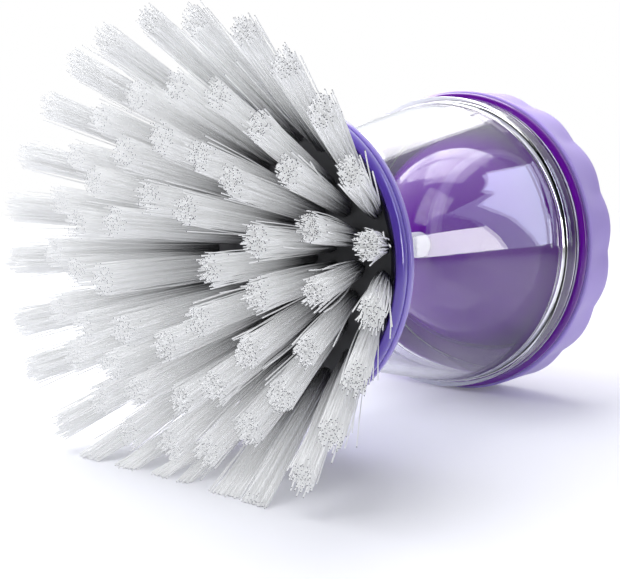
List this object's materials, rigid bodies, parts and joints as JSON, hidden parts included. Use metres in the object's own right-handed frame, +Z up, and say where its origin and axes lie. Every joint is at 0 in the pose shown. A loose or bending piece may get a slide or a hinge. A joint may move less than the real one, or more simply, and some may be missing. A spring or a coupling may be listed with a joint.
{
  "type": "pot brush",
  "caption": "Palm-held pot brush on its side: flared nylon tufts on a screwed head, clear barrel, domed soap cup, scalloped grip, lid and push button with a valve stem.",
  "frame": {"origin": "centre of the footprint's box, on the surface that the brush lies on", "axes": "+Z up; the brush axis lies in the XZ plane, bristles at -X and lid at +X, with the lid end 6.5 degrees lower"},
  "size_m": [0.12, 0.0962, 0.0883],
  "materials": {
    "clear_plastic": "clear, polished",
    "purple_gloss": "glossy, slightly translucent purple",
    "violet_gloss": "glossy, slightly translucent violet",
    "lavender_soft": "satin, soft to the touch",
    "white_plastic": "moulded white",
    "white_nylon": "white nylon filament",
    "dark_plastic": "moulded dark grey",
    "pale_rubber": "matt",
    "spring_steel": "bright drawn wire and sheet"
  },
  "bodies": {
    "handle": {"clear_shell": "clear_plastic", "ring_gasket": "pale_rubber", "cap_ring": "purple_gloss", "flower_grip": "lavender_soft", "soap_cup": "purple_gloss", "cup_seal": "pale_rubber", "outlet_tube": "white_plastic", "bulkhead": "white_plastic", "valve_seat": "pale_rubber", "neck_ring": "violet_gloss", "stem_guide": "white_plastic", "return_spring": "spring_steel"},
    "brush_head": {"head_rim": "violet_gloss", "brush_plate": "dark_plastic", "bristle_ring_1": "white_nylon", "bristle_ring_2": "white_nylon", "bristle_ring_3": "white_nylon", "bristle_ring_4": "white_nylon", "nozzle": "dark_plastic", "head_gasket": "pale_rubber"},
    "valve_stem": {"stem": "white_plastic", "poppet": "pale_rubber", "stem_washer": "spring_steel"},
    "lid": {"lid_plate": "purple_gloss", "lid_gasket": "pale_rubber"},
    "button": {"push_button": "lavender_soft", "button_clip": "spring_steel"}
  },
  "joints": [
    {"name": "head_release", "type": "slide", "parent": "handle", "child": "brush_head", "axis": [-0.999, 0, 0.0437], "range_m": [0, 0.012]},
    {"name": "lid_lift", "type": "slide", "parent": "handle", "child": "lid", "axis": [0.999, 0, -0.0437], "range_m": [0, 0.03]},
    {"name": "button_press", "type": "slide", "parent": "lid", "child": "button", "axis": [-0.999, 0, 0.0437], "range_m": [0, 0.0035]},
    {"name": "stem_push", "type": "slide", "parent": "handle", "child": "valve_stem", "axis": [-0.999, 0, 0.0437], "range_m": [0, 0.0035], "stiffness_N_per_m": 1500, "springref_m": -0.001, "deforming": ["return_spring"]}
  ],
  "couplings": [
    {"joint": "stem_push", "follows": "button_press", "ratio": 1}
  ]
}
